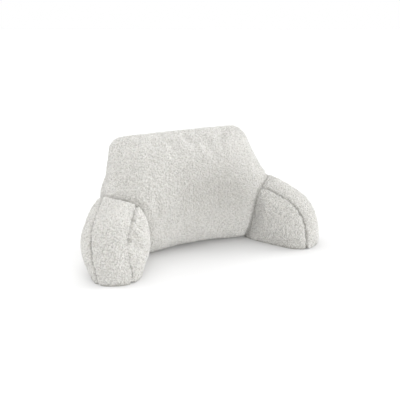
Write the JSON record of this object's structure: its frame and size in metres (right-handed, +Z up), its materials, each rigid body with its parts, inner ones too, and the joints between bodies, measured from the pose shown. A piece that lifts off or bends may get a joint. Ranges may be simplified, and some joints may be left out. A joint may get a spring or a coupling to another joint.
{
  "type": "backrest cushion",
  "caption": "Upright filled backrest cushion with splayed armrests, sewn from short curly fleece, flat underneath where it stands.",
  "frame": {"origin": "middle of the cushion's footprint box, on the floor", "axes": "+Z up; the cushion faces -Y, with its arms reaching forward; +X across its width, towards the arm that stands on the viewer's right"},
  "size_m": [0.8012, 0.3922, 0.3671],
  "materials": {
    "fleece": "matte short curly pile"
  },
  "bodies": {
    "root": {"back_cushion": "fleece", "right_arm_cushion": "fleece", "left_arm_cushion": "fleece"}
  },
  "joints": []
}
